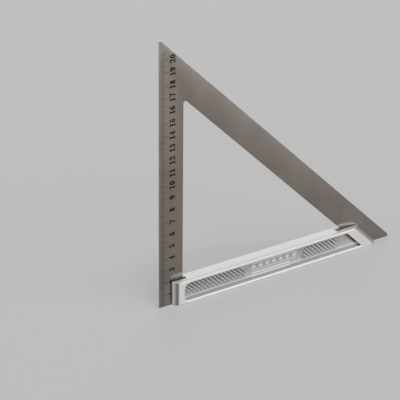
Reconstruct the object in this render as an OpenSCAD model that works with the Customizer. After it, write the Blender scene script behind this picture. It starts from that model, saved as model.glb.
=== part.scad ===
// Mitre square: an open triangular steel blade held in the sawn ends of a cast stock.
// Millimetres. X runs along the stock from the heel to the toe, Z is up, the blade lies in
// the XZ plane, and -Y is the graduated front. The origin is under the middle of the whole.

/* [Blade] */
// Length of each leg at the right angle, measured to the sharp corner
leg = 217.5; // [170:0.5:260]
// Width of the upright arm and of the sloping arm
arm_w = 21.2; // [20:0.1:28]
// Thickness of the steel, and of the slots that it sits in
blade_t = 1.2; // [1:0.1:2]
// Flat that blunts the top tip and the toe tip
tip_flat = 2.2; // [1:0.1:4]
// Radius of the outer right-angle corner
heel_r = 1.2; // [0.5:0.1:3]
// Radius in the top corner of the window
window_r = 1.5; // [0.5:0.1:4]

/* [Stock] */
// Height of the stock
stock_h = 19.5; // [18:0.5:24]
// Thickness of the stock, front to back
stock_t = 10.8; // [9.8:0.1:13]
// Blade left showing past the stock at the heel
heel_show = 11.4; // [9:0.1:12.5]
// Blade left showing past the stock at the toe, square to the sloping edge
toe_show = 9.8; // [7:0.1:11]
// Radius along the stock's long edges
edge_r = 1; // [0.6:0.1:1.5]
// Radius of the stock's pointed lower corner at the toe
toe_r = 2; // [1:0.1:4]
// Length of slot left open past the upright arm
heel_slot_extra = 3; // [1:0.5:6]
// Length of slot left open past the sloping arm, at the stock's top
toe_slot_extra = 5; // [1:0.5:8]

/* [Recesses] */
// Depth of the recess in the front face
front_depth = 1.5; // [0.8:0.1:1.8]
// Depth of the recess in the rear face
rear_depth = 1.2; // [0.6:0.1:1.8]
// Rim under each recess
rim_low = 1.8; // [1:0.1:4]
// Rim above each recess
rim_high = 2.3; // [2:0.1:4]
// Face left at the heel end of the front recess
front_heel_land = 8.6; // [6:0.1:12]
// Face left at the toe end of the front recess, square to the slope
front_toe_land = 10.8; // [9.5:0.1:14]
// Face left at the heel end of the rear recess, which carries the screw heads
rear_heel_land = 14; // [13:0.5:20]
// Face left at the toe end of the rear recess, square to the slope
rear_toe_land = 16; // [15:0.5:22]
// Height of the raised plaque and ribs above the recess floor
relief = 0.6; // [0.2:0.1:0.8]

/* [Fasteners] */
// Distance of the screws and dowels from the blade's inner edges
pin_inset = 3.6; // [3:0.1:4.5]
// Height of the lower screw in each foot
screw_low = 4.6; // [4.4:0.1:5]
// Screw thread's outer diameter
screw_d = 3; // [2.5:0.1:3]
// Diameter of the countersunk head
head_d = 5.6; // [5:0.1:5.6]
// Diameter of the dowels
dowel_d = 3; // [2:0.1:3]

/* [Hidden] */
$fn = 64;
steel = [0.44, 0.42, 0.40];
cast = [0.80, 0.79, 0.78];
zinc = [0.66, 0.67, 0.69];

root2 = sqrt(2);
// Every edge at the toe follows a line x + z = constant, which these give
window_sum = leg - arm_w * root2;
nose_sum = leg - toe_show * root2;
nose_axis_sum = nose_sum - stock_t / 2 * root2;
// Middle of the whole in X, so that the origin sits under it
middle_x = (leg - tip_flat) / 2;

// Fasteners lie across the stock: their own z is the part's +Y, zero in the blade's middle
head_sink = 0.4;
head_land = 0.2;
head_top = stock_t / 2 - head_sink;
cone_h = (head_d - screw_d) / 2;
screw_tip = -2.8;
tapped_end = -3.2;
clearance_d = screw_d + 0.2;
dowel_front = -3;
dowel_hole_end = -3.3;
dowel_back = stock_t / 2 - 0.3;
dowel_chamfer = 0.3;
driver_slot = [3.2, 0.8, 1.1];

screw_high = stock_h - screw_low;
dowel_z = stock_h / 2;
function heel_at(z) = [arm_w - pin_inset, z];
function toe_at(z) = [window_sum + pin_inset * root2 - z, z];
screw_spots = [heel_at(screw_low), heel_at(screw_high), toe_at(screw_low), toe_at(screw_high)];
dowel_spots = [heel_at(dowel_z), toe_at(dowel_z)];

// Puts a shape drawn in the XZ plane, heel corner at zero, into the part's frame
module standing(thickness) {
    translate([-middle_x, 0, 0])
        rotate([90, 0, 0])
            linear_extrude(thickness, center = true)
                children();
}

// Puts a fastener, drawn along +Z, at a spot in the XZ plane with its head to the rear
module across(spot) {
    translate([spot[0] - middle_x, 0, spot[1]])
        rotate([-90, 0, 0])
            children();
}

// ---- blade ----

module blade_outline() {
    polygon([
        [heel_r, 0], [leg - tip_flat, 0], [leg - tip_flat, tip_flat],
        [tip_flat, leg - tip_flat], [0, leg - tip_flat], [0, heel_r]
    ]);
    translate([heel_r, heel_r])
        circle(heel_r);
}

// The window is open at the foot, where the stock closes the triangle
module window_outline() {
    corner_x = arm_w + window_r;
    corner_z = window_sum - arm_w - window_r * (1 + root2);
    side = window_r / root2;
    polygon([
        [arm_w, -1], [arm_w, corner_z],
        [corner_x + side, corner_z + side], [window_sum + 1, -1]
    ]);
    translate([corner_x, corner_z])
        circle(window_r);
}

module blade() {
    color(steel)
        difference() {
            standing(blade_t)
                difference() {
                    blade_outline();
                    window_outline();
                }
            for (spot = screw_spots)
                across(spot)
                    cylinder(h = 2 * blade_t, d = clearance_d, center = true);
            for (spot = dowel_spots)
                across(spot)
                    cylinder(h = 2 * blade_t, d = dowel_d, center = true);
        }
}

// ---- stock ----

// Section across the stock: its thickness along x, its height along y
module stock_section() {
    inner = stock_t / 2 - edge_r;
    translate([-stock_t / 2, edge_r])
        square([stock_t, stock_h - 2 * edge_r]);
    translate([-inner, 0])
        square([2 * inner, stock_h]);
    for (side = [-1, 1], level = [edge_r, stock_h - edge_r])
        translate([side * inner, level])
            circle(edge_r);
}

// Side view of the stock, with the pointed toe corner rounded off
module stock_side() {
    corner_x = nose_sum - toe_r * (1 + root2);
    side = toe_r / root2;
    polygon([
        [0, 0], [corner_x, 0], [corner_x + side, toe_r + side],
        [nose_sum - stock_h, stock_h], [0, stock_h]
    ]);
    translate([corner_x, toe_r])
        circle(toe_r);
}

module heel_nose() {
    translate([heel_show + stock_t / 2 - middle_x, 0, 0])
        rotate_extrude()
            intersection() {
                stock_section();
                square([stock_t / 2, stock_h]);
            }
}

// The toe's nose is a round bar that leans with the blade's sloping edge
module toe_nose() {
    translate([nose_axis_sum - middle_x, 0, 0])
        rotate([0, -45, 0])
            cylinder(h = 4 * stock_h, d = stock_t, center = true);
}

module stock_bar() {
    start = heel_show + stock_t / 2;
    standing(stock_t)
        polygon([
            [start, 0], [nose_axis_sum, 0],
            [nose_axis_sum - stock_h, stock_h], [start, stock_h]
        ]);
}

module stock_form() {
    heel_nose();
    intersection() {
        translate([-middle_x, 0, 0])
            rotate([90, 0, 90])
                linear_extrude(leg)
                    stock_section();
        standing(stock_t)
            stock_side();
        union() {
            stock_bar();
            toe_nose();
        }
    }
}

// A recess: upright at the heel end, sloping at the toe end, with its corners rounded
module recess_outline(heel_land, toe_land) {
    low = rim_low;
    high = stock_h - rim_high;
    end_r = 4.5;
    end_x = heel_show + heel_land + end_r;
    slope_sum = nose_sum - toe_land * root2;
    low_r = 1.5;
    low_x = slope_sum - low - low_r * (1 + root2);
    high_r = 2;
    high_x = slope_sum - high - high_r * (root2 - 1);
    polygon([
        [end_x, low], [low_x, low],
        [low_x + low_r / root2, low + low_r + low_r / root2],
        [high_x + high_r / root2, high - high_r + high_r / root2],
        [high_x, high], [end_x, high],
        [end_x - end_r, high - end_r], [end_x - end_r, low + end_r]
    ]);
    for (z = [low + end_r, high - end_r])
        translate([end_x, z])
            circle(end_r);
    translate([low_x, low + low_r])
        circle(low_r);
    translate([high_x, high - high_r])
        circle(high_r);
}

module recess(face, depth, heel_land, toe_land) {
    translate([0, face * stock_t / 2, 0])
        standing(2 * depth)
            recess_outline(heel_land, toe_land);
}

// The heel's slot ends upright, and the toe's slot leans with the sloping arm
module blade_slots() {
    toe_sum = window_sum - toe_slot_extra;
    past = stock_h + 1;
    standing(blade_t) {
        translate([0, -1])
            square([arm_w + heel_slot_extra, stock_h + 2]);
        polygon([[toe_sum + 1, -1], [leg, -1], [leg, past], [toe_sum - past, past]]);
    }
}

module screw_hole() {
    translate([0, 0, tapped_end])
        cylinder(h = -tapped_end, d = screw_d);
    cylinder(h = head_top - head_land - cone_h + 0.1, d = clearance_d);
    translate([0, 0, head_top - head_land - cone_h])
        cylinder(h = cone_h, d1 = screw_d, d2 = head_d);
    translate([0, 0, head_top - head_land])
        cylinder(h = 2, d = head_d);
}

module dowel_hole() {
    translate([0, 0, dowel_hole_end])
        cylinder(h = stock_t, d = dowel_d);
}

// Plain raised plaque with round ends, and two ribs under it, on the front recess's floor
module front_relief() {
    floor_y = -(stock_t / 2 - front_depth);
    plaque = [80, 124, 9.4, 15.8];
    rib_levels = [4.9, 7.3];
    rib_h = 0.7;
    plaque_r = (plaque[3] - plaque[2]) / 2;
    translate([0, floor_y - relief / 2, 0])
        standing(relief + 0.2) {
            translate([plaque[0] + plaque_r, plaque[2]])
                square([plaque[1] - plaque[0] - 2 * plaque_r, plaque[3] - plaque[2]]);
            for (x = [plaque[0] + plaque_r, plaque[1] - plaque_r])
                translate([x, plaque[2] + plaque_r])
                    circle(plaque_r);
            for (z = rib_levels)
                translate([plaque[0], z])
                    square([plaque[1] - plaque[0], rib_h]);
        }
}

module stock() {
    color(cast) {
        difference() {
            stock_form();
            recess(-1, front_depth, front_heel_land, front_toe_land);
            recess(1, rear_depth, rear_heel_land, rear_toe_land);
            blade_slots();
            for (spot = screw_spots)
                across(spot)
                    screw_hole();
            for (spot = dowel_spots)
                across(spot)
                    dowel_hole();
        }
        front_relief();
    }
}

// ---- fasteners ----

module countersunk_screw() {
    tip_chamfer = 0.4;
    difference() {
        union() {
            translate([0, 0, screw_tip])
                cylinder(h = tip_chamfer, d1 = screw_d - 2 * tip_chamfer, d2 = screw_d);
            translate([0, 0, screw_tip + tip_chamfer])
                cylinder(h = head_top - cone_h - screw_tip - tip_chamfer, d = screw_d);
            translate([0, 0, head_top - head_land - cone_h])
                cylinder(h = cone_h, d1 = screw_d, d2 = head_d);
            translate([0, 0, head_top - head_land])
                cylinder(h = head_land, d = head_d);
        }
        for (turn = [0, 90])
            rotate([0, 0, turn + 45])
                translate([-driver_slot[0] / 2, -driver_slot[1] / 2, head_top - driver_slot[2]])
                    cube(driver_slot + [0, 0, 1]);
    }
}

module dowel() {
    end_d = dowel_d - 2 * dowel_chamfer;
    length = dowel_back - dowel_front;
    translate([0, 0, dowel_front])
        cylinder(h = dowel_chamfer, d1 = end_d, d2 = dowel_d);
    translate([0, 0, dowel_front + dowel_chamfer])
        cylinder(h = length - 2 * dowel_chamfer, d = dowel_d);
    translate([0, 0, dowel_back - dowel_chamfer])
        cylinder(h = dowel_chamfer, d1 = dowel_d, d2 = end_d);
}

module screw_at(spot) {
    color(zinc)
        across(spot)
            countersunk_screw();
}

module dowel_at(spot) {
    color(steel)
        across(spot)
            dowel();
}

blade();
stock();
screw_at(heel_at(screw_low));  // heel_screw_lower
screw_at(heel_at(screw_high));  // heel_screw_upper
dowel_at(heel_at(dowel_z));  // heel_dowel
screw_at(toe_at(screw_low));  // toe_screw_lower
screw_at(toe_at(screw_high));  // toe_screw_upper
dowel_at(toe_at(dowel_z));  // toe_dowel
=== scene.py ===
"""Mitre square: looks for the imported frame. Sizes are in millimetres until a mesh is made.

X runs along the stock from the heel to the toe, Z is up, and -Y is the graduated front.
Places along the square are measured from the blade's left edge (the heel), as in the CAD source.
"""

import math

import bmesh
import bpy
import numpy as np
from mathutils import Matrix, Vector


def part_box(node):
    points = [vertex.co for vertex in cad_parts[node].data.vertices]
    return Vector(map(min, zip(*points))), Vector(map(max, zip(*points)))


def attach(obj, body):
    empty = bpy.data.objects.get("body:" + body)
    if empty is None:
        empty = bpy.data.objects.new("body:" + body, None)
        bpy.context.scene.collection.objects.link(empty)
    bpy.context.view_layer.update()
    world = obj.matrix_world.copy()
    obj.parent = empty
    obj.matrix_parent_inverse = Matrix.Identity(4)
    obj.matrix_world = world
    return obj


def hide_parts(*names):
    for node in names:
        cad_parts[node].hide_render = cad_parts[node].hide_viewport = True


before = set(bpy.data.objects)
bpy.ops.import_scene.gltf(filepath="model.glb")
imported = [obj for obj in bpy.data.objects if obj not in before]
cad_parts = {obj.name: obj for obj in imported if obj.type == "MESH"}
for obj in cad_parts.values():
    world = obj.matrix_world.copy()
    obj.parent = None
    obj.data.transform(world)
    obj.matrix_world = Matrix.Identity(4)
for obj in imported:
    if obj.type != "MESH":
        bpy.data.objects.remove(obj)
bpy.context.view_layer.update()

# ---- driving dimensions, from the frame where it has them ----

MM = 0.001
ROOT2 = math.sqrt(2)
blade_low, blade_high = (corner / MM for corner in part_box("blade"))
stock_low, stock_high = (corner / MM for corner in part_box("stock"))

MIDDLE_X = -blade_low.x
TIP_FLAT = 2.2
LEG = blade_high.x - blade_low.x + TIP_FLAT
ARM = 21.2
HEEL_R = 1.2
WINDOW_R = 1.5
WINDOW_SUM = LEG - ARM * ROOT2
BLADE_FRONT = blade_low.y
BLADE_T = blade_high.y - blade_low.y
BLADE_EDGE = 0.12
FACE_MARGIN = 0.01

HEIGHT = stock_high.z
HALF_T = stock_high.y
HEEL_AXIS = stock_low.x + MIDDLE_X + HALF_T
TOE_SHOW = 9.8
NOSE_SUM = LEG - TOE_SHOW * ROOT2
NOSE_AXIS_SUM = NOSE_SUM - HALF_T * ROOT2
EDGE_R = 1.0
TOE_R = 2.0
SLOT_W = BLADE_T + 0.14
HEEL_SLOT_END = ARM + 3
TOE_SLOT_SUM = WINDOW_SUM - 5

# Recesses. A "sum" is x + z along a 45 degree edge
RIM_LOW = 1.8
RIM_HIGH = HEIGHT - 2.3
MID_Z = (RIM_LOW + RIM_HIGH) / 2
HALF_RECESS = (RIM_HIGH - RIM_LOW) / 2
HEEL_CORNER_R = 4.5
TOE_CORNER_R = 1.2
FRONT_START = HEEL_AXIS - HALF_T + 8.6
FRONT_TOE_SUM = NOSE_SUM - 10.8 * ROOT2
REAR_START = HEEL_AXIS - HALF_T + 14
REAR_TOE_SUM = NOSE_SUM - 16 * ROOT2
FRONT_DEPTH = 1.5
REAR_DEPTH = 1.2

# Fasteners: each foot has two screws, from the rear, and a dowel between them
PIN_INSET = 3.6
SCREW_LEVELS = (4.6, HEIGHT - 4.6)
HEAD_D = 5.6
SHANK_D = 3.2
HEAD_TOP = HALF_T - 0.4
HEAD_RIM = 0.2
HEAD_ROOM = 0.05
DOWEL_D = 3.0
DOWEL_ROOM = 0.03
# Cutting tools run this far past the stock
PAST = 1
# The fasteners' (x, z) spots
FEET = (lambda z: ARM - PIN_INSET, lambda z: WINDOW_SUM + PIN_INSET * ROOT2 - z)
SCREW_SPOTS = [(foot(z), z) for foot in FEET for z in SCREW_LEVELS]
DOWEL_SPOTS = [(foot(HEIGHT / 2), HEIGHT / 2) for foot in FEET]


# ---- small helpers ----

def smooth(t):
    """Smooth step of t from 0 to 1."""
    t = np.clip(t, 0, 1)
    return t * t * (3 - 2 * t)


def to_frame(points):
    """Points measured from the heel, in millimetres, as metres in the frame."""
    return (np.asarray(points, float) - (MIDDLE_X, 0, 0)) * MM


def new_object(name, points, faces):
    """A mesh with every face turned outward."""
    mesh = bpy.data.meshes.new(name)
    mesh.from_pydata([tuple(p) for p in to_frame(points)], [], faces)
    work = bmesh.new()
    work.from_mesh(mesh)
    bmesh.ops.recalc_face_normals(work, faces=work.faces)
    work.to_mesh(mesh)
    work.free()
    obj = bpy.data.objects.new(name, mesh)
    bpy.context.scene.collection.objects.link(obj)
    return obj


def shade(obj, sharp_angle):
    """Smooth shading, with edges sharper than the angle kept crisp."""
    obj.data.shade_smooth()
    obj.data.set_sharp_from_angle(angle=math.radians(sharp_angle))


def apply_modifiers(obj):
    """Puts the result of the modifiers in the place of the object's mesh."""
    bpy.context.view_layer.update()
    graph = bpy.context.evaluated_depsgraph_get()
    made = bpy.data.meshes.new_from_object(obj.evaluated_get(graph))
    obj.modifiers.clear()
    old = obj.data
    obj.data = made
    made.name = obj.name
    bpy.data.meshes.remove(old)


def boolean(obj, tools, operation):
    """Applies one boolean per tool to obj, and removes the tools."""
    for tool in tools:
        modifier = obj.modifiers.new("bool", "BOOLEAN")
        modifier.operation = operation
        modifier.solver = "MANIFOLD"
        modifier.object = tool
    apply_modifiers(obj)
    for tool in tools:
        mesh = tool.data
        bpy.data.objects.remove(tool)
        bpy.data.meshes.remove(mesh)


def prism(name, outline, y0, y1):
    """A closed solid from an (x, z) outline, from y0 to y1."""
    n = len(outline)
    points = [(x, y0, z) for x, z in outline] + [(x, y1, z) for x, z in outline]
    sides = [(i, (i + 1) % n, n + (i + 1) % n, n + i) for i in range(n)]
    return new_object(name, points, [tuple(range(n - 1, -1, -1)), tuple(range(n, 2 * n)), *sides])


def arc(centre, radius, start, end, steps):
    """Points on a round stretch in the XZ plane; angles in degrees, counter-clockwise from +X."""
    angles = np.radians(np.linspace(start, end, steps + 1))
    return [(centre[0] + radius * math.cos(a), centre[1] + radius * math.sin(a)) for a in angles]


def revolved(name, spot, profile, steps=48):
    """A closed turned solid lying along Y at an (x, z) spot, from (radius, y) profile points."""
    turns = [2 * math.pi * i / steps for i in range(steps)]
    points = [
        (spot[0] + r * math.cos(a), y, spot[1] + r * math.sin(a)) for r, y in profile for a in turns
    ]
    faces = []
    for ring in range(len(profile) - 1):
        for i in range(steps):
            j = (i + 1) % steps
            low, high = ring * steps, (ring + 1) * steps
            faces.append((low + i, low + j, high + j, high + i))
    last = (len(profile) - 1) * steps
    faces.append(tuple(range(steps)))
    faces.append(tuple(range(last + steps - 1, last - 1, -1)))
    return new_object(name, points, faces)


def dress(obj, material, node=None):
    """Gives a piece its one material and its body, and hides the CAD node that it stands for."""
    obj.data.materials.clear()
    obj.data.materials.append(material)
    obj.data.polygons.foreach_set("material_index", [0] * len(obj.data.polygons))
    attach(obj, "root")
    if node:
        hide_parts(node)


def set_mask(obj, name, values):
    """Stores one number per vertex for a material to read."""
    attribute = obj.data.attributes.get(name) or obj.data.attributes.new(name, "FLOAT", "POINT")
    attribute.data.foreach_set("value", np.asarray(values, np.float32))


def heel_points(obj):
    """A mesh's vertices back in millimetres from the heel."""
    points = np.zeros(len(obj.data.vertices) * 3)
    obj.data.vertices.foreach_get("co", points)
    return points.reshape(-1, 3) / MM + (MIDDLE_X, 0, 0)


# ---- materials ----

class Nodes:
    """Short calls for building one node material."""

    def __init__(self, name):
        self.material = bpy.data.materials.new(name)
        self.material.use_nodes = True
        self.tree = self.material.node_tree
        self.shader = self.tree.nodes["Principled BSDF"]

    def add(self, kind, inputs=None, **settings):
        """A new node, with its inputs linked or set and its own settings."""
        node = self.tree.nodes.new(kind)
        for key, value in settings.items():
            setattr(node, key, value)
        for key, value in (inputs or {}).items():
            if isinstance(value, bpy.types.NodeSocket):
                self.tree.links.new(value, node.inputs[key])
            else:
                node.inputs[key].default_value = value
        return node

    def noise(self, scale, detail=3.0, roughness=0.55):
        """Noise in the object's own space, with so many cells per metre along each axis."""
        coordinates = self.add("ShaderNodeTexCoord").outputs["Object"]
        mapping = self.add("ShaderNodeMapping", {"Vector": coordinates, "Scale": scale})
        texture = self.add(
            "ShaderNodeTexNoise",
            {"Vector": mapping.outputs["Vector"], "Scale": 1.0, "Detail": detail,
             "Roughness": roughness},
        )
        return texture.outputs["Fac"]

    def spread(self, value, low, high, to_low=0.0, to_high=1.0):
        """The value's range from low to high, spread over another range and held at its ends."""
        node = self.add(
            "ShaderNodeMapRange",
            {"Value": value, "From Min": low, "From Max": high, "To Min": to_low,
             "To Max": to_high},
        )
        return node.outputs["Result"]

    def mix(self, factor, first, second):
        """A mix of two colours."""
        node = self.add("ShaderNodeMix", data_type="RGBA")
        colours = [s for s in node.inputs if s.type == "RGBA"]
        for socket, value in zip([node.inputs["Factor"], *colours], (factor, first, second)):
            if isinstance(value, bpy.types.NodeSocket):
                self.tree.links.new(value, socket)
            else:
                socket.default_value = value
        return next(s for s in node.outputs if s.type == "RGBA")

    def mix_value(self, factor, first, second):
        """A mix of two numbers."""
        node = self.add("ShaderNodeMix", {"Factor": factor, "A": first, "B": second})
        return node.outputs["Result"]

    def times(self, first, second):
        node = self.add("ShaderNodeMath", {0: first, 1: second}, operation="MULTIPLY")
        return node.outputs["Value"]

    def mask(self, name):
        """What set_mask stored under the name."""
        return self.add("ShaderNodeAttribute", attribute_name=name).outputs["Fac"]

    def bump(self, height, strength, distance, below=None):
        """Bumps as high as the distance in metres, on top of another normal if one is given."""
        inputs = {"Height": height, "Strength": strength, "Distance": distance}
        if below is not None:
            inputs["Normal"] = below
        return self.add("ShaderNodeBump", inputs).outputs["Normal"]

    def link(self, socket, name):
        """Feeds one of the shader's own inputs."""
        self.tree.links.new(socket, self.shader.inputs[name])


# Linear colours, each pair from deep to pale
STEEL_FACE = ((0.152, 0.131, 0.116, 1), (0.192, 0.168, 0.149, 1))
STEEL_LINE = (0.24, 0.22, 0.20, 1)
STEEL_CUT = (0.78, 0.75, 0.72, 1)
ALLOY_GROUND = ((0.86, 0.845, 0.83, 1), (0.95, 0.938, 0.925, 1))
ALLOY_SCRATCH = (0.70, 0.69, 0.68, 1)
# The darkest alloy colour is painted shade; the palest satin one is for painted highlights as well
# as lighter crests and relief
ALLOY_PAINTED_SHADE = ((0.020, 0.0195, 0.019, 1), (0.045, 0.044, 0.043, 1))
ALLOY_CAST = ((0.23, 0.225, 0.221, 1), (0.33, 0.323, 0.318, 1))
ALLOY_HIGHLIGHT_AND_CREST = (0.80, 0.795, 0.79, 1)
ZINC = ((0.36, 0.37, 0.39, 1), (0.50, 0.51, 0.53, 1))
HARDENED = ((0.34, 0.33, 0.32, 1), (0.44, 0.43, 0.42, 1))
INK = ((0.003, 0.003, 0.003, 1), (0.02, 0.018, 0.016, 1))
FLOOR_GREY = (0.54, 0.54, 0.537, 1)


def polished_steel():
    """Stainless sheet: a dark warm mirror with fine grinding lines, smudges and bright edges."""
    made = Nodes("polished_steel")
    lines = made.noise((18000, 9000, 700), detail=2)
    cloud = made.noise((45, 45, 30), detail=4)
    marks = made.noise((260, 260, 190), detail=5, roughness=0.7)
    edge = made.mask("edge")
    base = made.mix(made.spread(cloud, 0.3, 0.7), *STEEL_FACE)
    base = made.mix(made.spread(lines, 0.35, 0.75, 0.0, 0.35), base, STEEL_LINE)
    base = made.mix(edge, base, STEEL_CUT)
    made.link(base, "Base Color")
    made.shader.inputs["Metallic"].default_value = 1.0
    rough = made.spread(marks, 0.35, 0.75, 0.11, 0.24)
    rough = made.mix_value(edge, rough, 0.38)
    made.link(rough, "Roughness")
    normal = made.bump(lines, 0.10, 0.00002)
    made.link(made.bump(cloud, 0.10, 0.0004, normal), "Normal")
    return made.material


def cast_metal():
    """Cast light alloy: ground on the outer faces, and satin in the recesses.

    In the satin the tone runs from painted shade at 0, through the plain casting, to bright at 1,
    which holds painted highlights, lighter knurl crests and lighter relief.
    """
    made = Nodes("cast_metal")
    recess = made.mask("recess")
    tone = made.mask("tone")
    sand = made.noise((2600, 2600, 2600), detail=4, roughness=0.65)
    cloud = made.noise((70, 120, 120), detail=4)
    grind = made.noise((500, 16000, 16000), detail=2)
    pits = made.noise((900, 900, 900), detail=2, roughness=0.5)
    ground = made.mix(made.spread(cloud, 0.3, 0.7), *ALLOY_GROUND)
    ground = made.mix(made.spread(grind, 0.55, 0.8, 0.0, 0.3), ground, ALLOY_SCRATCH)
    # Painted shade: the dark end of the tone
    painted_shade = made.mix(made.spread(sand, 0.3, 0.7), *ALLOY_PAINTED_SHADE)
    satin = made.mix(made.spread(sand, 0.3, 0.7), *ALLOY_CAST)
    satin = made.mix(made.spread(tone, 0.1, 0.5), painted_shade, satin)
    # Painted highlights, with lighter crests and relief: the bright end of the tone
    satin = made.mix(made.spread(tone, 0.55, 1.0), satin, ALLOY_HIGHLIGHT_AND_CREST)
    made.link(made.mix(recess, ground, satin), "Base Color")
    made.shader.inputs["Metallic"].default_value = 0.8
    rough_ground = made.spread(cloud, 0.3, 0.7, 0.30, 0.42)
    rough_satin = made.spread(sand, 0.3, 0.7, 0.45, 0.62)
    made.link(made.mix_value(recess, rough_ground, rough_satin), "Roughness")
    dents = made.spread(pits, 0.25, 0.4)
    low = made.bump(dents, 0.15, 0.00005)
    fine = made.bump(grind, 0.08, 0.00002, low)
    made.link(made.bump(made.times(sand, recess), 0.35, 0.00006, fine), "Normal")
    return made.material


def fastener_metal(name, colours, rough):
    """Bright fastener steel with a fine grain and faint clouding."""
    made = Nodes(name)
    grain = made.noise((5000, 900, 5000), detail=3)
    cloud = made.noise((400, 400, 400), detail=3)
    made.link(made.mix(made.spread(cloud, 0.3, 0.7), *colours), "Base Color")
    made.shader.inputs["Metallic"].default_value = 1.0
    made.link(made.spread(grain, 0.3, 0.7, rough, rough + 0.15), "Roughness")
    made.link(made.bump(grain, 0.15, 0.00003), "Normal")
    return made.material


def etched_black():
    """Black filled etching, a little worn and uneven."""
    made = Nodes("etched_black")
    worn = made.noise((1400, 1400, 1400), detail=4, roughness=0.7)
    made.link(made.mix(made.spread(worn, 0.45, 0.85), *INK), "Base Color")
    made.link(made.spread(worn, 0.3, 0.7, 0.6, 0.85), "Roughness")
    made.shader.inputs["Specular IOR Level"].default_value = 0.12
    made.link(made.bump(worn, 0.2, 0.00002), "Normal")
    return made.material


# ---- blade ----

def blade_outline():
    """The open triangle as one loop, counter-clockwise seen from the front."""
    corner = (ARM + WINDOW_R, WINDOW_SUM - ARM - WINDOW_R * (1 + ROOT2))
    return [
        *arc((HEEL_R, HEEL_R), HEEL_R, 180, 270, 8),
        (ARM, 0),
        *arc(corner, WINDOW_R, 180, 45, 12),
        (WINDOW_SUM, 0),
        (LEG - TIP_FLAT, 0),
        (LEG - TIP_FLAT, TIP_FLAT),
        (TIP_FLAT, LEG - TIP_FLAT),
        (0, LEG - TIP_FLAT),
    ]


def inset(loop, amount):
    """A counter-clockwise loop with every side moved inward by the amount."""
    points = np.array(loop)
    ahead = np.roll(points, -1, axis=0) - points
    ahead /= np.linalg.norm(ahead, axis=1)[:, None]
    behind = np.roll(ahead, 1, axis=0)
    inward_a = np.stack([-ahead[:, 1], ahead[:, 0]], axis=1)
    inward_b = np.stack([-behind[:, 1], behind[:, 0]], axis=1)
    bisector = inward_a + inward_b
    return points + amount * bisector / (1 + (inward_a * inward_b).sum(axis=1))[:, None]


def make_blade():
    """The blade as a stack of insets of its outline, which round its long edges."""
    outline = blade_outline()
    n = len(outline)
    turns = np.radians([0, 30, 60, 90])
    back = BLADE_FRONT + BLADE_T
    rings = [
        (BLADE_EDGE * (1 - math.sin(a)), BLADE_FRONT + BLADE_EDGE * (1 - math.cos(a)))
        for a in turns
    ]
    rings += [(amount, back - (y - BLADE_FRONT)) for amount, y in reversed(rings)]
    points = [(x, y, z) for amount, y in rings for x, z in inset(outline, amount)]
    faces = [tuple(range(n)), tuple(range(len(points) - 1, len(points) - n - 1, -1))]
    for ring in range(len(rings) - 1):
        for i in range(n):
            j = (i + 1) % n
            faces.append((ring * n + i, (ring + 1) * n + i, (ring + 1) * n + j, ring * n + j))
    obj = new_object("blade_plate", points, faces)
    shade(obj, sharp_angle=40)
    return obj


def finish_blade(obj, material):
    """Marks the rounded and cut edges, which are brighter than the two faces."""
    from_middle = np.abs(heel_points(obj)[:, 1] - (BLADE_FRONT + BLADE_T / 2))
    set_mask(obj, "edge", from_middle < BLADE_T / 2 - FACE_MARGIN)
    dress(obj, material, "blade")


# ---- stock ----

# Mesh steps: on the plain faces, and finer close to the edges and ends of the recesses
GRID = 0.2
ROW_STEP = 0.08
COLUMN_STEP = 0.1
FINE_REACH = 0.5
REAR_SKIP = 5

# The ground face runs a little past the heel nose's axis. The noses are nearly as cast and get a
# painted darker reflection, and the tip of the heel's one a painted highlight
GROUND_PAST = 1.5
NOSE_CAST = 0.95
NOSE_DARK_REFLECTION = 0.25
TIP_HIGHLIGHT_END = HEEL_AXIS - 3.7
TIP_HIGHLIGHT_TONE = 0.42
TIP_HIGHLIGHT_FADE = 0.8
TOE_NOSE_FADE = 2.5
TOE_EDGE_ROUND = 0.3
# The blade slots get painted shade
SLOT_SHADE = 0.2
# Vertices this close to the top or bottom face belong to it
LEVEL_MARGIN = 0.05

# Recess walls: how far outside the outline they start, and how wide they are
WALL_START = 0.04
FRONT_WALL = 0.36
REAR_WALL = 0.5
TOE_WALL = 3.4
TOE_WALL_DEPTH = 0.25

# The front floor has a narrow cove at its foot, a fold above it, and a wide hollow up to the rim
FOLD_Z = 5.3
FOLD_DEPTH = 0.85
HOLLOW_TOP_DEPTH = 1.05
COVE_EDGE_DEPTH = 1.1
COVE_DEPTH = 1.35
LEAST_DEPTH = 0.25
REAR_EDGE_DEPTH = 0.95

# The low rim leans back towards the foot of the recess
LOW_BEVEL = 0.45
BEVEL_RUN = 1.4
BEVEL_FADE = 2

# Two knurled pads in the hollow end in arcs that bulge towards the plain middle
PAD_PITCH = 2.5
PAD_HEIGHT = 0.7
PAD_STEEPNESS = 1.35
PAD_ARC_R = 9.5
LEFT_PAD_END = 75.0
RIGHT_PAD_START = 128.5
RIGHT_PAD_END = 165.0
RIGHT_PAD_FADE = 7
PAD_FADE = 0.5
FOLD_FADE = 1.5
WALL_FOOT = 0.3
WALL_FOOT_FADE = 0.4
ARC_LIFT = 0.32
ARC_OFFSET = 0.35
ARC_HALF = 0.42

# Plaque: left, right, low and high edge. Lozenge: half its length and half its height
PLAQUE = (80.0, 124.0, 9.4, 15.8)
PLATE_LIFT = 0.2
PLATE_EDGE = 0.4
BORDER_LIFT = 0.24
BORDER_OFFSET = 0.5
LOZENGES = 7
LOZENGE_HALF = (2.2, 2.0)
LOZENGE_LIFT = 0.4
LOZENGE_SLOPE = 0.35
RIBS = (5.3, 7.7)
RIB_LIFT = 0.42
RIB_HALF = 0.75
RIB_SLOPE = 0.35
RIB_END = 118.0
RIB_FADE = 1.5
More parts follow.
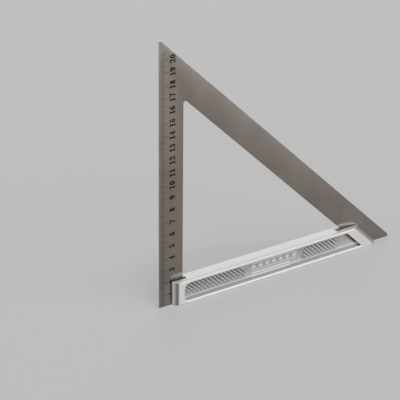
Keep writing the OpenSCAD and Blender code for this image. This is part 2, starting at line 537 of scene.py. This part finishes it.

# Tones, from 0 for dark to 1 for bright, and how far each reaches. The knurl's darker grooves and
# the top, foot, toe and rear shades are painted shade, and the fold's tone is a painted highlight
PLAIN_TONE = 0.5
KNURL_PLAIN = 0.52
KNURL_BRIGHT = 0.2
KNURL_CONTRAST = 0.35
KNURL_SHADE_RISE = 0.8
RAISED_PLAIN = 0.22
RAISED_GAIN = 2.2
FOLD_HIGHLIGHT = 0.35
FOLD_HIGHLIGHT_OFFSET = 0.2
FOLD_HIGHLIGHT_HALF = 1.3
TOP_SHADE = 0.35
TOP_SHADE_REACH = 1.6
FOOT_SHADE = 0.15
FOOT_SHADE_REACH = 2.4
TOE_SHADE = 0.5
REAR_TONE = 0.72
REAR_SHADE = 0.35
REAR_SHADE_REACH = 1.5


def close_levels(low, high, marks, step, fine):
    """Levels from low to high a step apart, and a finer step apart close to the marks."""
    levels = [np.arange(low, high, step), [high]]
    for mark in marks:
        levels.append(np.arange(mark - FINE_REACH, mark + FINE_REACH, fine))
    levels = np.unique(np.concatenate(levels))
    levels = levels[(levels >= low) & (levels <= high)]
    least = 0.6 * fine
    keep = [levels[0]]
    for level in levels[1:]:
        if level - keep[-1] > least:
            keep.append(level)
    keep[-1] = high
    return np.array(keep)


def stock_rows():
    """Heights of the mesh's rows, with both long edges rounded."""
    turns = np.linspace(0, math.pi / 2, 6)[:-1]
    rounded = EDGE_R * (1 - np.cos(turns))
    flat = close_levels(EDGE_R, HEIGHT - EDGE_R, (RIM_LOW, RIM_HIGH), GRID, ROW_STEP)
    return np.concatenate([rounded, flat, HEIGHT - rounded[::-1]])


def stock_columns():
    """The mesh's columns, as shares of the way from the heel's axis to the toe's axis."""
    length = NOSE_AXIS_SUM - HEEL_AXIS
    ends = (FRONT_START - HEEL_AXIS + FINE_REACH, FRONT_TOE_SUM - HEEL_AXIS)
    return close_levels(0, length, ends, GRID, COLUMN_STEP) / length


def recess_distance(x, z, start, toe_sum):
    """Signed distance to a recess's outline, negative inside: round corners at the heel end."""
    past = start + HEEL_CORNER_R - x
    above = np.abs(z - MID_Z) - HALF_RECESS + HEEL_CORNER_R
    heel = np.hypot(np.maximum(past, 0), np.maximum(above, 0)) - HEEL_CORNER_R
    heel = heel + np.minimum(np.maximum(past, above), 0) + TOE_CORNER_R
    slope = (x + z - toe_sum) / ROOT2 + TOE_CORNER_R
    outside = np.hypot(np.maximum(heel, 0), np.maximum(slope, 0))
    return np.minimum(np.maximum(heel, slope), 0) + outside - TOE_CORNER_R


def hollow(t, start, middle, end):
    """Depth across a hollow as t goes from 0 to 1: a round trough between two edges."""
    side = 2 * np.clip(t, 0, 1) - 1
    return middle - np.where(side < 0, middle - start, middle - end) * side**2


def ridge(distance, half, slope):
    """A ridge's height from 0 to 1: half its width at the foot, and the width of each slope."""
    return smooth((half - np.abs(distance)) / slope)


def pad_distances(x, z):
    """Signed distances to the left and the right pad's own ends, negative on the pad."""
    rise = z - MID_Z
    left = np.hypot(np.maximum(x - LEFT_PAD_END + PAD_ARC_R, 0), rise) - PAD_ARC_R
    right = np.hypot(np.minimum(x - RIGHT_PAD_START - PAD_ARC_R, 0), rise) - PAD_ARC_R
    left = np.where(x < LEFT_PAD_END - PAD_ARC_R, -PAD_ARC_R, left)
    right = np.where(x > RIGHT_PAD_START + PAD_ARC_R, -PAD_ARC_R, right)
    return left, right


def knurl(x, z):
    """Pyramids between two families of 45 degree grooves, from 0 in a groove to 1 on a crest."""
    first = np.abs(((x + z) / ROOT2 / PAD_PITCH) % 1 - 0.5) * 2
    second = np.abs(((x - z) / ROOT2 / PAD_PITCH) % 1 - 0.5) * 2
    return np.minimum((1 - np.maximum(first, second)) * PAD_STEEPNESS, 1)


def plaque_lift(x, z):
    """A plain raised plaque with round ends, a border and a row of lozenges."""
    left, right, low, high = PLAQUE
    half = (high - low) / 2
    centre = (high + low) / 2
    along = np.clip(x, left + half, right - half)
    inside = half - np.hypot(x - along, z - centre)
    plate = PLATE_LIFT * smooth(inside / PLATE_EDGE)
    border = BORDER_LIFT * ridge(inside - BORDER_OFFSET, PLATE_EDGE, PLATE_EDGE)
    pitch = (right - left - 2 * half) / (LOZENGES - 1)
    place = np.clip(np.round((x - left - half) / pitch), 0, LOZENGES - 1)
    nearest = left + half + place * pitch
    spot = 1 - np.abs(x - nearest) / LOZENGE_HALF[0] - np.abs(z - centre) / LOZENGE_HALF[1]
    return plate + np.maximum(border, LOZENGE_LIFT * smooth(spot / LOZENGE_SLOPE))


def raised_lines(x, z, pad_ends, in_hollow):
    """The thin lines round the pads' ends and the two ribs below the plaque."""
    raised = 0 * x
    for distance in pad_ends:
        line = ARC_LIFT * ridge(distance - ARC_OFFSET, ARC_HALF, ARC_HALF) * in_hollow
        raised = np.maximum(raised, line)
    ends = smooth((x - PLAQUE[0]) / RIB_FADE) * smooth((RIB_END - x) / RIB_FADE)
    for level in RIBS:
        raised = np.maximum(raised, RIB_LIFT * ridge(z - level, RIB_HALF, RIB_SLOPE) * ends)
    return raised


def front_floor(x, z, inside):
    """Depth of the front recess's floor, and its tone."""
    up_hollow = (z - FOLD_Z) / (RIM_HIGH - FOLD_Z)
    up_cove = (z - RIM_LOW) / (FOLD_Z - RIM_LOW)
    wide = hollow(up_hollow, FOLD_DEPTH, FRONT_DEPTH, HOLLOW_TOP_DEPTH)
    cove = hollow(up_cove, COVE_EDGE_DEPTH, COVE_DEPTH, FOLD_DEPTH)
    depth = np.where(z > FOLD_Z, wide, cove)

    left, right = pad_distances(x, z)
    in_hollow = smooth((z - FOLD_Z) / FOLD_FADE) * smooth((inside - WALL_FOOT) / WALL_FOOT_FADE)
    right_fade = smooth((RIGHT_PAD_END - x) / RIGHT_PAD_FADE)
    pad = smooth(-left / PAD_FADE) + smooth(-right / PAD_FADE) * right_fade
    pattern = knurl(x, z)
    lift = pattern * PAD_HEIGHT * pad * in_hollow
    raised = np.maximum(plaque_lift(x, z), raised_lines(x, z, (left, right), in_hollow))

    # Painted shade in the knurl's grooves, stronger towards the top where the hollow faces down; the
    # crests get a little lighter
    contrast = KNURL_CONTRAST + KNURL_SHADE_RISE * smooth(up_hollow)
    change = np.minimum((pattern - KNURL_PLAIN) * contrast, KNURL_BRIGHT)
    tone = PLAIN_TONE + change * pad * in_hollow
    raised_tone = PLAIN_TONE + RAISED_GAIN * (raised - RAISED_PLAIN)
    tone = np.where(raised > lift, np.maximum(tone, raised_tone), tone)
    # A painted highlight along the fold
    above_fold = z - FOLD_Z - FOLD_HIGHLIGHT_OFFSET
    tone = tone + FOLD_HIGHLIGHT * ridge(above_fold, FOLD_HIGHLIGHT_HALF, FOLD_HIGHLIGHT_HALF)
    # Painted shade under the upper rim and at the foot of the recess
    tone = tone - TOP_SHADE * smooth(1 - (RIM_HIGH - z) / TOP_SHADE_REACH)
    tone = tone - FOOT_SHADE * smooth(1 - (z - RIM_LOW) / FOOT_SHADE_REACH)
    return np.maximum(depth - np.maximum(lift, raised), LEAST_DEPTH), tone


def front_depth(x, z):
    """Depth of the front face's relief, how much of it is recess, and its tone."""
    distance = recess_distance(x, z, FRONT_START, FRONT_TOE_SUM)
    floor, tone = front_floor(x, z, -distance)
    wall = smooth((WALL_START - distance) / FRONT_WALL)
    from_toe = np.maximum((FRONT_TOE_SUM - x - z) / ROOT2, 0) / TOE_WALL
    toe_wall = TOE_WALL_DEPTH + (1 - TOE_WALL_DEPTH) * smooth(from_toe)
    # Painted shade on the toe's end wall
    tone = tone - TOE_SHADE * smooth(1 - from_toe)
    near = np.clip(1 - distance / BEVEL_RUN, 0, 1)
    low = (z < MID_Z) * smooth((RIM_LOW + BEVEL_FADE - z) / BEVEL_FADE)
    foot = LOW_BEVEL * near * low
    return np.maximum(floor * wall * toe_wall, foot), wall, np.clip(tone, 0, 1)


def rear_depth(x, z):
    """Depth of the plain rear recess, how much of it is recess, and its tone."""
    distance = recess_distance(x, z, REAR_START, REAR_TOE_SUM)
    wall = smooth((WALL_START - distance) / REAR_WALL)
    across = (z - RIM_LOW) / (RIM_HIGH - RIM_LOW)
    # Painted shade near the rear recess's edge
    tone = REAR_TONE - REAR_SHADE * smooth(1 + distance / REAR_SHADE_REACH)
    return hollow(across, REAR_EDGE_DEPTH, REAR_DEPTH, REAR_EDGE_DEPTH) * wall, wall, tone


def toe_side(z):
    """How far the toe reaches at a height, with the pointed lower corner rounded."""
    corner_x = NOSE_SUM - TOE_R * (1 + ROOT2)
    rounded = corner_x + np.sqrt(np.maximum(TOE_R**2 - (z - TOE_R) ** 2, 0))
    return np.where(z < TOE_R * (1 + 1 / ROOT2), rounded, NOSE_SUM - z)


def make_stock():
    """The casting as rows of rings, close in front for the relief and wider apart behind."""
    rows = stock_rows()
    columns = stock_columns()
    nose_turns = np.radians(np.linspace(0, 90, 19))
    z = rows[:, None]
    drop = np.minimum(np.minimum(z, HEIGHT - z), EDGE_R)
    shrink = EDGE_R - np.sqrt(EDGE_R**2 - (EDGE_R - drop) ** 2)
    half = HALF_T - shrink
    toe_axis = NOSE_AXIS_SUM - z
    heel_x = HEEL_AXIS - half * np.sin(nose_turns[:0:-1])
    heel_y = half * np.cos(nose_turns[:0:-1])
    flat_x = HEEL_AXIS + columns * (toe_axis - HEEL_AXIS)
    flat_y = half + 0 * flat_x
    reach = toe_side(z) - TOE_EDGE_ROUND * shrink - toe_axis
    toe_x = toe_axis + reach * np.sin(nose_turns[1:])
    toe_y = half * np.cos(nose_turns[1:])
    x = np.concatenate([heel_x, flat_x, toe_x], axis=1)
    y = np.concatenate([heel_y, flat_y, toe_y], axis=1)
    level = z + 0 * x
    front_y = -(y - front_depth(x, level)[0])
    rear_y = y - rear_depth(x, level)[0]

    last = x.shape[1] - 1
    nose = len(nose_turns) - 1
    kept = [
        i for i in range(1, last)
        if i < nose or i >= last - nose or (i - nose) % REAR_SKIP == 0
    ]
    rear_index = {i: last + 1 + k for k, i in enumerate(kept)}
    rear_index[0] = 0
    rear_index[last] = last
    width = last + 1 + len(kept)
    ring_x = np.concatenate([x, x[:, kept]], axis=1)
    ring_y = np.concatenate([front_y, rear_y[:, kept]], axis=1)
    ring_y[:, (0, last)] = 0
    ring_z = z + 0 * ring_x
    points = np.stack([ring_x, ring_y, ring_z], axis=2).reshape(-1, 3)

    faces = []
    rear_run = [last, *reversed(kept), 0]
    loop = [*range(last), *(rear_index[i] for i in rear_run)]
    for row in range(len(rows) - 1):
        base = row * width
        for a, b in zip(loop[:-1], loop[1:]):
            faces.append((base + a, base + b, base + width + b, base + width + a))
    top = (len(rows) - 1) * width
    ends = [0, *kept, last]
    for a, b in zip(ends[:-1], ends[1:]):
        front = list(range(a, b + 1))
        rear = [rear_index[i] for i in (b, a) if i not in (0, last)]
        face = front + rear
        faces.append(tuple(top + i for i in face))
        faces.append(tuple(reversed(face)))
    obj = new_object("stock_casting", points, faces)
    boolean(obj, stock_tools(), "DIFFERENCE")
    return obj


def stock_tools():
    """What is cut out of the casting: the two blade slots, the countersinks and the dowel holes."""
    y = SLOT_W / 2
    low, high = -PAST, HEIGHT + PAST
    heel = [(-PAST, low), (HEEL_SLOT_END, low), (HEEL_SLOT_END, high), (-PAST, high)]
    toe = [
        (TOE_SLOT_SUM - low, low), (LEG + PAST, low), (LEG + PAST, high), (TOE_SLOT_SUM - high, high)
    ]
    tools = [prism("heel_slot", heel, -y, y), prism("toe_slot", toe, -y, y)]
    shank = SHANK_D / 2
    rim = HEAD_D / 2 + HEAD_ROOM
    dowel = DOWEL_D / 2 + DOWEL_ROOM
    cone_end = HEAD_TOP - HEAD_RIM
    cone_start = cone_end - (HEAD_D - SHANK_D) / 2
    outside = HALF_T + PAST
    for spot in SCREW_SPOTS:
        hole = [(shank, 0.0), (shank, cone_start), (rim, cone_end), (rim, outside)]
        tools.append(revolved("hole", spot, hole))
    for spot in DOWEL_SPOTS:
        tools.append(revolved("hole", spot, [(dowel, 0.0), (dowel, outside)]))
    return tools


def finish_stock(obj, material):
    """Marks how much of the casting is left as cast, and its tone there, which holds painted shade
    and painted highlights.
    """
    shade(obj, sharp_angle=38)
    x, y, z = heel_points(obj).T
    _, front, front_tone = front_depth(x, z)
    _, rear, rear_tone = rear_depth(x, z)
    in_slot = np.abs(y) < SLOT_W / 2 + FACE_MARGIN
    toe_nose = smooth((x + z - NOSE_AXIS_SUM) / TOE_NOSE_FADE)
    nose = np.maximum(x < HEEL_AXIS - GROUND_PAST, toe_nose)
    cast = np.maximum(np.where(y < 0, front, rear), nose * NOSE_CAST)
    # Painted darker reflection on the noses, and a painted highlight on the heel nose's tip
    nose_reflection_tone = NOSE_DARK_REFLECTION + TIP_HIGHLIGHT_TONE * smooth((TIP_HIGHLIGHT_END - x) / TIP_HIGHLIGHT_FADE)
    tone = np.where(nose > 0.5, nose_reflection_tone, np.where(y < 0, front_tone, rear_tone))
    level = (z > HEIGHT - LEVEL_MARGIN) | (z < LEVEL_MARGIN)
    set_mask(obj, "recess", np.where(in_slot, 1, np.where(level, 0, cast)))
    # Painted shade inside the blade slots
    set_mask(obj, "tone", np.where(in_slot, SLOT_SHADE, tone))
    dress(obj, material, "stock")


# ---- scale ----

INK_FRONT = BLADE_FRONT - 0.025
INK_BACK = BLADE_FRONT + 0.03
TICK_START = 2.0
TICK_ENDS = {1: 4.8, 5: 6.2, 10: 8.6}
TICK_WIDTH = 0.2
LAST_TICK = 205
NUMBER_CENTRE = 11.7
NUMBER_HEIGHT = 4.7
# Shares of a number's height
DIGIT_WIDTH = 0.66
DIGIT_STEP = 0.74
THICK = 0.26
THIN = 0.15


def make_ticks(material):
    """One closed bar per millimetre, longer at each fifth and tenth."""
    box = [(0, 1, 2, 3), (7, 6, 5, 4), (0, 4, 5, 1), (1, 5, 6, 2), (2, 6, 7, 3), (3, 7, 4, 0)]
    points, faces = [], []
    for tick in range(1, LAST_TICK + 1):
        end = TICK_ENDS[10 if tick % 10 == 0 else 5 if tick % 5 == 0 else 1]
        low, high = tick - TICK_WIDTH / 2, tick + TICK_WIDTH / 2
        corners = ((TICK_START, low), (end, low), (end, high), (TICK_START, high))
        first = len(points)
        points += [(x, y, z) for y in (INK_FRONT, INK_BACK) for x, z in corners]
        faces += [tuple(first + i for i in face) for face in box]
    obj = new_object("scale_ticks", points, faces)
    shade(obj, sharp_angle=30)
    dress(obj, material)


def bow(cx, cy, rx, ry, start=0, end=360):
    """A curved stroke, thick where it runs upright and thin where it runs level."""
    turns = np.radians(np.linspace(start, end, 33))
    outer = [(cx + rx * math.cos(a), cy + ry * math.sin(a)) for a in turns]
    inner = [(cx + (rx - THICK) * math.cos(a), cy + (ry - THIN) * math.sin(a)) for a in turns]
    return outer, inner


def bar(x0, y0, x1, y1, width):
    """A straight stroke between two points."""
    side = Vector((y0 - y1, x1 - x0)).normalized() * width / 2
    return [(x0 - side.x, y0 - side.y), (x1 - side.x, y1 - side.y),
            (x1 + side.x, y1 + side.y), (x0 + side.x, y0 + side.y)]


def ball(cx, cy, radius=0.115):
    """The round end of a stroke."""
    return arc((cx, cy), radius, 0, 345, 23)


# Each digit is a unit tall and starts at 0: bows, and closed outlines
DIGITS = {
    "0": [bow(0.33, 0.5, 0.33, 0.5)],
    "1": [bar(0.34, 0, 0.34, 1, THICK), bar(0.08, 0.045, 0.60, 0.045, 0.09),
          bar(0.08, 0.80, 0.36, 0.95, 0.10)],
    "2": [bow(0.33, 0.70, 0.31, 0.30, -38, 175), bar(0.50, 0.57, 0.08, 0.10, 0.15),
          bar(0.03, 0.085, 0.64, 0.085, 0.17), bar(0.60, 0.05, 0.62, 0.30, 0.09),
          ball(0.135, 0.71)],
    "3": [bow(0.32, 0.745, 0.27, 0.255, -90, 160), bow(0.32, 0.285, 0.32, 0.285, -160, 90),
          ball(0.14, 0.80), ball(0.125, 0.24)],
    "4": [bar(0.46, 0, 0.46, 1, THICK), bar(0.46, 0.96, 0.04, 0.32, 0.10),
          bar(0.01, 0.29, 0.68, 0.29, 0.10), bar(0.26, 0.045, 0.66, 0.045, 0.09)],
    "5": [bar(0.09, 0.915, 0.60, 0.915, 0.17), bar(0.13, 0.92, 0.13, 0.46, 0.09),
          bow(0.31, 0.32, 0.33, 0.32, -160, 140), ball(0.125, 0.27)],
    "6": [bow(0.335, 0.31, 0.325, 0.31), bow(0.42, 0.5, 0.41, 0.5, 75, 205), ball(0.53, 0.87)],
    "7": [bar(0.04, 0.91, 0.66, 0.91, 0.18), bar(0.56, 0.86, 0.28, 0, 0.19),
          bar(0.075, 0.92, 0.055, 0.70, 0.09)],
    "8": [bow(0.33, 0.745, 0.28, 0.255), bow(0.33, 0.275, 0.33, 0.275)],
}


def flat_ring(outer, inner, y0, y1):
    """A closed solid between two curves with matching points, open or going all the way round."""
    n = len(outer)
    whole = math.dist(outer[0], outer[-1]) < 1e-6
    if whole:
        outer, inner, n = outer[:-1], inner[:-1], n - 1
    points = [(x, y, z) for y in (y0, y1) for curve in (outer, inner) for x, z in curve]
    faces = []
    for i in range(n if whole else n - 1):
        j = (i + 1) % n
        faces.append((i, j, n + j, n + i))
        faces.append((2 * n + i, 3 * n + i, 3 * n + j, 2 * n + j))
        faces.append((i, 2 * n + i, 2 * n + j, j))
        faces.append((n + i, n + j, 3 * n + j, 3 * n + i))
    if not whole:
        faces.append((0, n, 3 * n, 2 * n))
        faces.append((n - 1, 3 * n - 1, 4 * n - 1, 2 * n - 1))
    return new_object("stroke", points, faces)


def make_digit(strokes):
    """A digit's points and faces, its strokes joined; it is flat in XZ and 1 deep along Y."""
    parts = []
    for stroke in strokes:
        if isinstance(stroke, tuple):
            parts.append(flat_ring(*stroke, 0, 1))
        else:
            parts.append(prism("stroke", stroke, 0, 1))
    body = parts[0]
    if parts[1:]:
        boolean(body, parts[1:], "UNION")
    points = heel_points(body)
    faces = [tuple(face.vertices) for face in body.data.polygons]
    mesh = body.data
    bpy.data.objects.remove(body)
    bpy.data.meshes.remove(mesh)
    return points, faces


def make_numbers(material):
    """The centimetre numbers, read up the blade, each centred on its own long tick."""
    glyphs = {name: make_digit(strokes) for name, strokes in DIGITS.items()}
    turned_six = glyphs["6"][0] * (-1, 1, -1) + (DIGIT_WIDTH, 0, 1)
    glyphs["9"] = (turned_six, glyphs["6"][1])
    for number in range(1, LAST_TICK // 10 + 1):
        text = str(number)
        points, faces = [], []
        start = -(DIGIT_WIDTH + DIGIT_STEP * (len(text) - 1)) / 2
        for place, character in enumerate(text):
            glyph, glyph_faces = glyphs[character]
            along = (glyph[:, 0] + start + place * DIGIT_STEP) * NUMBER_HEIGHT
            up = (glyph[:, 2] - 0.5) * NUMBER_HEIGHT
            depth = INK_FRONT + glyph[:, 1] * (INK_BACK - INK_FRONT)
            first = len(points)
            points += list(zip(NUMBER_CENTRE - up, depth, 10 * number + along))
            faces += [tuple(first + i for i in face) for face in glyph_faces]
        obj = new_object(f"scale_number_{number:02d}", points, faces)
        shade(obj, sharp_angle=30)
        dress(obj, material)


# ---- fasteners ----

def dress_fasteners(screw_material, dowel_material):
    """The CAD fasteners have their real shape, so they stay and only get their metal."""
    for name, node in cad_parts.items():
        if "screw" in name or "dowel" in name:
            node.data.materials.clear()
            node.data.materials.append(screw_material if "screw" in name else dowel_material)


# ---- stage ----

FLOOR_REACH = 40.0
HORIZON_LIGHT = 0.62
ZENITH_LIGHT = 0.12
# Where the room's light starts and stops fading, as heights on a ball of radius 1
HORIZON_TOP = 0.05
ZENITH_FOOT = 0.6
CAMERA_AZIMUTH = 33.55
CAMERA_ELEVATION = 27.14
CAMERA_ROLL = 0.57
CAMERA_DISTANCE = 1.551
CAMERA_AIM = (-0.07126, 0, 0.08088)
CAMERA_LENS = 189.5


def make_camera():
    """Stands where the lens of the picture stood: in front, to the left and above."""
    a, e, roll = (math.radians(v) for v in (CAMERA_AZIMUTH, CAMERA_ELEVATION, CAMERA_ROLL))
    back = Vector((-math.sin(a) * math.cos(e), -math.cos(a) * math.cos(e), math.sin(e)))
    level = Vector((math.cos(a), -math.sin(a), 0))
    upright = back.cross(level)
    right = level * math.cos(roll) + upright * math.sin(roll)
    up = upright * math.cos(roll) - level * math.sin(roll)
    data = bpy.data.cameras.new("camera")
    data.lens = CAMERA_LENS
    data.sensor_width = 36
    data.clip_start = 0.05
    data.clip_end = 50
    camera = bpy.data.objects.new("camera", data)
    turn = Matrix((right, up, back)).transposed()
    spot = Vector(CAMERA_AIM) + back * CAMERA_DISTANCE
    camera.matrix_world = Matrix.Translation(spot) @ turn.to_4x4()
    bpy.context.scene.collection.objects.link(camera)
    bpy.context.scene.camera = camera


def make_light(name, spot, aim, size, power):
    """A soft rectangular light; its power is in watts."""
    data = bpy.data.lights.new(name, "AREA")
    data.shape = "RECTANGLE"
    data.size, data.size_y = size
    data.energy = power
    light = bpy.data.objects.new(name, data)
    light.location = spot
    light.rotation_euler = (Vector(aim) - Vector(spot)).to_track_quat("-Z", "Y").to_euler()
    bpy.context.scene.collection.objects.link(light)


def make_floor():
    """A plain pale floor that reaches the horizon."""
    made = Nodes("pale_floor")
    made.shader.inputs["Base Color"].default_value = FLOOR_GREY
    made.shader.inputs["Roughness"].default_value = 0.6
    mesh = bpy.data.meshes.new("floor")
    signs = ((-1, -1), (1, -1), (1, 1), (-1, 1))
    corners = [(x * FLOOR_REACH, y * FLOOR_REACH, 0) for x, y in signs]
    mesh.from_pydata(corners, [], [(0, 1, 2, 3)])
    mesh.materials.append(made.material)
    floor = bpy.data.objects.new("floor", mesh)
    bpy.context.scene.collection.objects.link(floor)


def make_world():
    """A soft room: pale at the horizon and darker overhead, so that the relief reads."""
    world = bpy.data.worlds.new("studio")
    world.use_nodes = True
    tree = world.node_tree
    place = tree.nodes.new("ShaderNodeTexCoord").outputs["Generated"]
    height = tree.nodes.new("ShaderNodeSeparateXYZ")
    tree.links.new(place, height.inputs["Vector"])
    fade = tree.nodes.new("ShaderNodeMapRange")
    fade.inputs["From Min"].default_value = HORIZON_TOP
    fade.inputs["From Max"].default_value = ZENITH_FOOT
    fade.inputs["To Min"].default_value = HORIZON_LIGHT
    fade.inputs["To Max"].default_value = ZENITH_LIGHT
    tree.links.new(height.outputs["Z"], fade.inputs["Value"])
    tree.links.new(fade.outputs["Result"], tree.nodes["Background"].inputs["Strength"])
    tree.nodes["Background"].inputs["Color"].default_value = (1, 1, 1, 1)
    bpy.context.scene.world = world


def make_sun(direction, strength, softness):
    """One overhead light, even over the whole floor; its softness is an angle in degrees."""
    data = bpy.data.lights.new("overhead", "SUN")
    data.energy = strength
    data.angle = math.radians(softness)
    sun = bpy.data.objects.new("overhead", data)
    sun.rotation_euler = (-Vector(direction)).to_track_quat("-Z", "Y").to_euler()
    bpy.context.scene.collection.objects.link(sun)


steel = polished_steel()
cast = cast_metal()
ink = etched_black()
zinc = fastener_metal("zinc_plate", ZINC, 0.22)
hardened = fastener_metal("hardened_steel", HARDENED, 0.3)

finish_blade(make_blade(), steel)
finish_stock(make_stock(), cast)
make_ticks(ink)
make_numbers(ink)
dress_fasteners(zinc, hardened)
make_floor()
make_world()
make_sun(direction=(-0.15, -0.2, 1), strength=2.85, softness=24)
make_light("front_fill", spot=(1.6, -2.6, 0.6), aim=(0, 0, 0.05), size=(2.0, 0.8), power=95)
make_light("left_strip", spot=(-1.7, -0.1, 0.4), aim=(-0.1, 0, 0.05), size=(0.5, 0.7), power=12)
make_light("back_sky", spot=(0.8, 1.5, 0.9), aim=(0, 0, 0.02), size=(1.6, 0.8), power=12)
make_camera()
